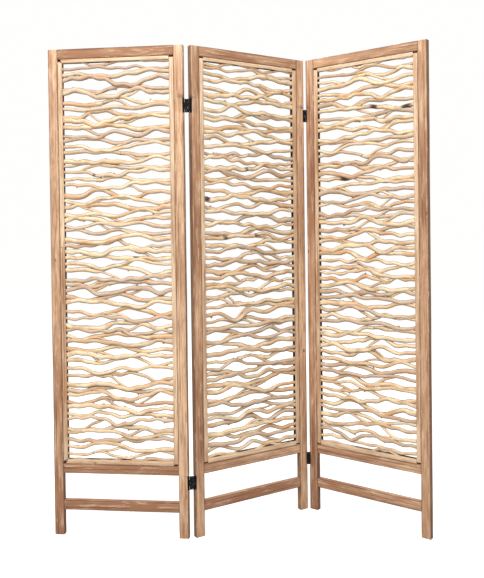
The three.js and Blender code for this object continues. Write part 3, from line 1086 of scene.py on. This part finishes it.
def peeled_twig_material():
    material, tree, shader = new_material("peeled twig")
    along = attribute(tree, "along")
    tone = node(tree, "SeparateXYZ", {0: attribute(tree, "tone")}).outputs
    patch = stretched(tree, along, (26.0, 90.0, 90.0), 3.0, 0.55)
    bark = stretched(tree, along, (11.0, 60.0, 60.0), 2.0, 0.5)
    fibre = stretched(tree, along, (60.0, 900.0, 900.0), 3.0, 0.6)
    speck = stretched(tree, along, (170.0, 260.0, 260.0), 2.0, 0.5)
    facing = node(tree, "LayerWeight", {"Blend": 0.5}).outputs["Facing"]
    color = CREAM
    for mask, tint in (
        (step_up(tree, patch, 0.40, 0.68), TAN),
        (times(tree, step_up(tree, bark, 0.42, 0.60), tone[0]), INNER_BARK),
        (times(tree, tone[1], 0.85), WEATHERED),
        (step_up(tree, fibre, 0.45, 0.75, 0.0, 0.35), FIBRE_BROWN),
        (step_up(tree, speck, 0.70, 0.78, 0.0, 0.7), BUD_BROWN),
        (times(tree, tone[2], step_up(tree, patch, 0.35, 0.55, 0.35, 1.0)), ROTTEN),
        # Painted shade: darker where the branch turns away from the eye, along its outline.
        (step_up(tree, facing, 0.20, 0.72, 0.0, 0.86), OUTLINE_SHADE),
    ):
        color = mix(tree, mask, color, tint)
    tree.links.new(color, shader.inputs["Base Color"])
    roughness = step_up(tree, patch, 0.3, 0.7, 0.5, 0.68)
    tree.links.new(roughness, shader.inputs["Roughness"])
    relief = calc(tree, "MULTIPLY_ADD", speck, 0.6, fibre)
    bump = node(tree, "Bump", {"Strength": 0.5, "Distance": 0.0005, "Height": relief})
    tree.links.new(bump.outputs[0], shader.inputs["Normal"])
    shader.inputs["Specular IOR Level"].default_value = 0.35
    return material


PEELED_TWIG = peeled_twig_material()

# %% Fill the panels
for panel in PANELS:
    draw = random_from(HABIT_SEEDS[panel])
    rows, arms = panel_branches(panel, draw)
    whole = bmesh.new()
    for branch in rows:
        bend_branch(whole, branch)
        for knot in branch.knots:
            if draw() < STUB_CHANCE:
                add_stub(whole, branch, knot, draw)
    for arm in arms:
        bend_branch(whole, arm, ARM_SIDES, ARM_CUTS)
    shade(whole)
    print(panel, "branches", len(rows), "arms", len(arms), "faces", len(whole.faces))
    piece(
        f"{panel}_panel_branches", whole, STANDS[panel], f"{panel}_panel",
        PEELED_TWIG, f"{panel}_panel_twigs",
    )

# %% [markdown]
# ## Double-action hinges
# Each hinge has two leaves let deep into the facing edges of the stiles, two pins, and a
# link between the pins, so either panel can fold to the front or to the back. The pins
# stand just inside the stiles, which leaves a gap no wider than the timber is thick. The
# barrels and the pins are turned shapes, which `spin` makes from half a section. The
# leaves are plates with rounded corners, cut out where the link and the pin heads turn,
# and their screws have a slot that is sliced into the head and pushed in.

# %% Turned shapes and plates
SPIN_STEPS = 24
PIN_RADIUS = 0.0013
PIN_HEAD_RADIUS = 0.0022
PIN_HEAD_HEIGHT = 0.0013
BARREL_RADIUS = 0.0024
BORE_RADIUS = 0.0016
KNUCKLE_HEIGHT = 0.011
KNUCKLE_END = 0.0016
KNUCKLE_GAP = 0.001
LINK_THICKNESS = 0.002
WEB_CLEARANCE = 0.0005


def turned(bm, x, profile, closed):
    """Spins half a section, given as (radius, height), round a vertical axis at x."""
    verts = [bm.verts.new((x + radius, 0, z)) for radius, z in profile]
    ring = verts + verts[:1] if closed else verts
    edges = [bm.edges.new(pair) for pair in zip(ring, ring[1:])]
    bmesh.ops.spin(
        bm, geom=verts + edges, cent=(x, 0, 0), axis=(0, 0, 1),
        angle=2 * math.pi, steps=SPIN_STEPS, use_merge=True,
    )


def barrel(bm, x, low, high):
    ease = 0.0003
    profile = [
        (BORE_RADIUS, low),
        (BARREL_RADIUS - ease, low),
        (BARREL_RADIUS, low + ease),
        (BARREL_RADIUS, high - ease),
        (BARREL_RADIUS - ease, high),
        (BORE_RADIUS, high),
    ]
    turned(bm, x, profile, True)


def ease(bm):
    """A hair of a bevel on every true edge, so that it can catch the light."""
    sharp = [edge for edge in bm.edges if edge.calc_face_angle(0.0) > math.radians(30)]
    soften(bm, 0.0002, 1, sharp)


def close_up(bm):
    bmesh.ops.remove_doubles(bm, verts=bm.verts, dist=1e-6)
    bmesh.ops.recalc_face_normals(bm, faces=bm.faces)


def at_leaf_corner(place):
    wide = abs(place.y) > LEAF_WIDTH / 2 - 1e-5
    return wide and abs(place.z) > HINGE_HEIGHT / 2 - 1e-5


def leaf_plate(level):
    """A plate with a window for the link's barrel and a notch at each end for a pin head.

    It starts as one flat face, which is sliced; the cells that are not wanted are deleted,
    and the rest is drawn out to the plate's thickness.
    """
    shoulder = HINGE_HEIGHT / 2 - KNUCKLE_END
    window = shoulder - KNUCKLE_HEIGHT - KNUCKLE_GAP / 2
    notch = shoulder + PLAY / 2
    room = BARREL_RADIUS + WEB_CLEARANCE
    bm = bmesh.new()
    bmesh.ops.create_grid(bm, x_segments=1, y_segments=1, size=0.5)
    bmesh.ops.scale(bm, vec=(HINGE_HEIGHT, LEAF_WIDTH, 1), verts=bm.verts)
    bmesh.ops.rotate(bm, matrix=Matrix.Rotation(-math.pi / 2, 3, "Y"), verts=bm.verts)
    slice_along(bm, 1, [-room, room])
    slice_along(bm, 2, [-notch, -window, window, notch])
    cut_out = []
    for face in bm.faces:
        middle = face.calc_center_median()
        if abs(middle.y) < room and not window < abs(middle.z) < notch:
            cut_out.append(face)
    bmesh.ops.delete(bm, geom=cut_out, context="FACES")
    drawn = bmesh.ops.extrude_face_region(bm, geom=bm.faces[:])["geom"]
    verts = [item for item in drawn if isinstance(item, bmesh.types.BMVert)]
    bmesh.ops.translate(bm, vec=(LEAF_THICKNESS, 0, 0), verts=verts)
    bmesh.ops.recalc_face_normals(bm, faces=bm.faces)
    corners = [
        edge
        for edge in bm.edges
        if all(at_leaf_corner(vert.co) for vert in edge.verts)
        and abs(edge.verts[0].co.x - edge.verts[1].co.x) > 1e-5
    ]
    soften(bm, 0.002, 4, corners)
    ease(bm)
    bmesh.ops.translate(bm, vec=(-LEAF_SEAT - LEAF_THICKNESS, 0, level), verts=bm.verts)
    return bm


def leaf_shape(level):
    bm = leaf_plate(level)
    shoulder = HINGE_HEIGHT / 2 - KNUCKLE_END
    low, high = level - shoulder, level + shoulder
    for z0, z1 in ((low, low + KNUCKLE_HEIGHT), (high - KNUCKLE_HEIGHT, high)):
        barrel(bm, PIN_OUT, z0, z1)
    close_up(bm)
    return bm


def link_shape(level):
    """An H-shaped web between two barrels: one block, sliced, with its middle drawn out."""
    pin = PIN_SPACING / 2
    reach = pin - BORE_RADIUS - 0.0001
    clear = pin - BARREL_RADIUS - WEB_CLEARANCE
    tall = HINGE_HEIGHT / 2 - KNUCKLE_END
    middle = tall - KNUCKLE_HEIGHT - KNUCKLE_GAP
    thick = LINK_THICKNESS / 2
    bm = block(Vector((-reach, -thick, -middle)), Vector((reach, thick, middle)))
    slice_along(bm, 0, [-clear, clear])
    for way in (-1, 1):
        ends = [
            face
            for face in bm.faces
            if face.normal.z * way > 0.9 and abs(face.calc_center_median().x) < clear
        ]
        grown = bmesh.ops.extrude_face_region(bm, geom=ends)["geom"]
        verts = [item for item in grown if isinstance(item, bmesh.types.BMVert)]
        bmesh.ops.delete(bm, geom=ends, context="FACES")
        bmesh.ops.translate(bm, vec=(0, 0, way * (tall - middle)), verts=verts)
    ease(bm)
    for x in (-pin, pin):
        barrel(bm, x, -middle, middle)
    close_up(bm)
    bmesh.ops.translate(bm, vec=(0, 0, level), verts=bm.verts)
    return bm


def pin_shape(level):
    bm = bmesh.new()
    shoulder = HINGE_HEIGHT / 2 - KNUCKLE_END + PLAY
    end = shoulder + PIN_HEAD_HEIGHT
    half = [
        (0.0, end),
        (0.0011, end - 0.0001),
        (0.0018, end - 0.0004),
        (PIN_HEAD_RADIUS, end - 0.0009),
        (PIN_HEAD_RADIUS, shoulder),
        (PIN_RADIUS, shoulder),
    ]
    profile = half + [(radius, -z) for radius, z in reversed(half)]
    turned(bm, PIN_OUT, profile, False)
    close_up(bm)
    bmesh.ops.translate(bm, vec=(0, 0, level), verts=bm.verts)
    return bm


# %% Screws
SCREW_RADIUS = 0.0023
SCREW_PLACES = ((0.0062, 0.0185), (-0.0062, 0.0), (0.0062, -0.0185))
SLOT_HALF = 0.00035


def add_screw(bm, y, z):
    """A flush countersunk head, slotted, that looks along +x at the leaf's face."""
    head = bmesh.new()
    profile = [
        (0.0, 0.0),
        (SCREW_RADIUS - 0.0003, 0.0),
        (SCREW_RADIUS, -0.0002),
        (0.0012, -0.0012),
        (0.0, -0.0012),
    ]
    turned(head, 0.0, profile, False)
    close_up(head)
    slice_along(head, 1, [-SLOT_HALF, SLOT_HALF])
    slot = [
        face
        for face in head.faces
        if face.normal.z > 0.9 and abs(face.calc_center_median().y) < SLOT_HALF
    ]
    pushed = bmesh.ops.extrude_face_region(head, geom=slot)["geom"]
    verts = [item for item in pushed if isinstance(item, bmesh.types.BMVert)]
    bmesh.ops.delete(head, geom=slot, context="FACES")
    bmesh.ops.translate(head, vec=(0, 0, -0.0006), verts=verts)
    place = Matrix.Translation((0.0001 - LEAF_SEAT, y, z))
    head.transform(place @ Matrix.Rotation(math.pi / 2, 4, "Y"))
    append(bm, head)


def screw_set(level):
    bm = bmesh.new()
    for y, z in SCREW_PLACES:
        add_screw(bm, y, level + z)
    return bm


# %% [markdown]
# The ironwork is cheap blackened steel: nearly black, with a mottled, half glossy coat and
# small pale specks that are painted glints. Object coordinates are enough for it, as nothing
# about the pattern follows the shape.

# %% Black steel


def black_steel_material(name, base, glint, roughness):
    material, tree, shader = new_material(name)
    place = node(tree, "TexCoord").outputs["Object"]
    mottle = stretched(tree, place, (330.0, 330.0, 330.0), 3.0, 0.6)
    grain = stretched(tree, place, (2600.0, 2600.0, 2600.0), 2.0, 0.5)
    # Small pale specks: painted glints.
    pale_patches = step_up(tree, mottle, 0.625, 0.665, 0.0, 0.90)
    tree.links.new(mix(tree, pale_patches, base, glint), shader.inputs["Base Color"])
    gloss = step_up(tree, mottle, 0.3, 0.7, roughness - 0.08, roughness + 0.12)
    tree.links.new(gloss, shader.inputs["Roughness"])
    bump = node(tree, "Bump", {"Strength": 0.25, "Distance": 0.0002, "Height": grain})
    tree.links.new(bump.outputs[0], shader.inputs["Normal"])
    shader.inputs["Metallic"].default_value = 0.1
    shader.inputs["Specular IOR Level"].default_value = 0.22
    return material


BLACK_STEEL = black_steel_material(
    "black steel", (0.003, 0.0028, 0.0025, 1), (0.42, 0.40, 0.38, 1), 0.34
)
SCREW_STEEL = black_steel_material(
    "screw steel", (0.03, 0.028, 0.026, 1), (0.30, 0.28, 0.26, 1), 0.28
)

# %% Hang the panels
# (hinge side, panel that carries the leaf, inner or outer, which edge of that panel)
LEAVES = (
    ("left", "left", "outer", 1),
    ("left", "middle", "inner", -1),
    ("right", "middle", "inner", 1),
    ("right", "right", "outer", -1),
)


def edge_matrix(panel, edge):
    """Carries a shape drawn on a side face at x = 0, looking along +x, to a panel's edge."""
    shift = Matrix.Translation((PANEL_WIDTH if edge > 0 else 0.0, 0, 0))
    turn = Matrix.Rotation(0.0 if edge > 0 else math.pi, 4, "Z")
    return STANDS[panel] @ shift @ turn


def iron(name, bm, matrix, body, replaced=None, material=BLACK_STEEL):
    shade(bm)
    made = piece(name, bm, matrix, body, material, replaced)
    made.data.set_sharp_from_angle(angle=math.radians(40))
    return made


for side, panel, half, edge in LEAVES:
    for height, level in HINGE_LEVELS.items():
        hinge = f"{side}_{height}_hinge"
        at_edge = edge_matrix(panel, edge)
        body = f"{panel}_panel"
        leaf, pin = f"{hinge}_{half}_leaf", f"{hinge}_{half}_pin"
        iron(f"{leaf}_plate", leaf_shape(level), at_edge, body, leaf)
        iron(f"{pin}_turned", pin_shape(level), at_edge, body, pin)
        screws = screw_set(level)
        iron(f"{hinge}_{half}_screws", screws, at_edge, body, material=SCREW_STEEL)

for side in ("left", "right"):
    pins = [AXIS[f"{side}_link_swing"], AXIS[f"{side}_panel_swing"]]
    first, last = sorted(pins, key=lambda place: place.x)
    step = last - first
    link_stands = standing((first + last) / 2, math.atan2(step.y, step.x))
    for height, level in HINGE_LEVELS.items():
        link = f"{side}_{height}_hinge_link"
        iron(f"{link}_forged", link_shape(level), link_stands, f"{side}_link", link)
print("hinges", 2 * len(HINGE_LEVELS))

# %% [markdown]
# ## Floor and light
# The screen stands on a plain pale floor that runs on to a white surround, like studio
# paper. A broad soft light hangs above the screen and a little in front of it, so the
# upper sides of the branches shine and their undersides go dark. A second one stands to
# the left and a weaker one to the right, so the panel that is turned away from the first
# goes only a little darker. The last one lights the rear. A camera sees lit paper as plain
# white, but so much white light from every side would wash out all modelling. So the
# Light Path node lets the camera see white paper while the screen gets only a part of
# that light from it.

# %% Floor, surround and lights
FLOOR_RADIUS = 60.0
PAPER_WHITE = (1.0, 0.995, 0.985, 1)
SURROUND_SEEN = 1.0
SURROUND_LIGHT = 0.40
FLOOR_GLOW = 0.76
TARGET = (0.0, 0.0, 0.9)


def make_floor():
    bm = bmesh.new()
    bmesh.ops.create_circle(bm, cap_ends=True, radius=FLOOR_RADIUS, segments=64)
    mesh = bpy.data.meshes.new("floor")
    bm.to_mesh(mesh)
    bm.free()
    floor = bpy.data.objects.new("floor", mesh)
    bpy.context.collection.objects.link(floor)
    material, tree, shader = new_material("studio paper")
    shader.inputs["Base Color"].default_value = (0.60, 0.597, 0.593, 1)
    shader.inputs["Roughness"].default_value = 0.9
    shader.inputs["Specular IOR Level"].default_value = 0.1
    seen = node(tree, "LightPath").outputs["Is Camera Ray"]
    shader.inputs["Emission Color"].default_value = PAPER_WHITE
    tree.links.new(calc(tree, "MULTIPLY", seen, FLOOR_GLOW), shader.inputs["Emission Strength"])
    mesh.materials.append(material)
    return floor


# (name, place, width and height, watts, colour)
LIGHTS = (
    ("key above", (-0.5, -2.2, 3.9), (3.0, 1.6), 150.0, (1.0, 0.985, 0.96)),
    ("side light", (-3.2, -2.8, 1.9), (1.8, 2.4), 34.0, (1.0, 0.98, 0.95)),
    ("fill", (3.0, -2.8, 1.7), (1.8, 2.4), 20.0, (1.0, 0.98, 0.95)),
    ("back light", (0.6, 3.2, 2.6), (2.6, 1.8), 45.0, (1.0, 0.985, 0.96)),
)


def make_light(name, place, size, power, color):
    data = bpy.data.lights.new(name, "AREA")
    data.shape = "RECTANGLE"
    data.size, data.size_y = size
    data.energy = power
    data.color = color
    light = bpy.data.objects.new(name, data)
    bpy.context.collection.objects.link(light)
    light.visible_camera = False
    light.location = place
    light.rotation_euler = (Vector(TARGET) - Vector(place)).to_track_quat("-Z", "Y").to_euler()
    return light


def make_surround():
    world = bpy.data.worlds.new("surround")
    world.use_nodes = True
    tree = world.node_tree
    background = tree.nodes["Background"]
    background.inputs["Color"].default_value = PAPER_WHITE
    seen = node(tree, "LightPath").outputs["Is Camera Ray"]
    share = calc(tree, "MULTIPLY_ADD", seen, SURROUND_SEEN - SURROUND_LIGHT, SURROUND_LIGHT)
    tree.links.new(share, background.inputs["Strength"])
    bpy.context.scene.world = world


make_floor()
make_surround()
for light in LIGHTS:
    make_light(*light)
bpy.context.scene.view_settings.view_transform = "Standard"
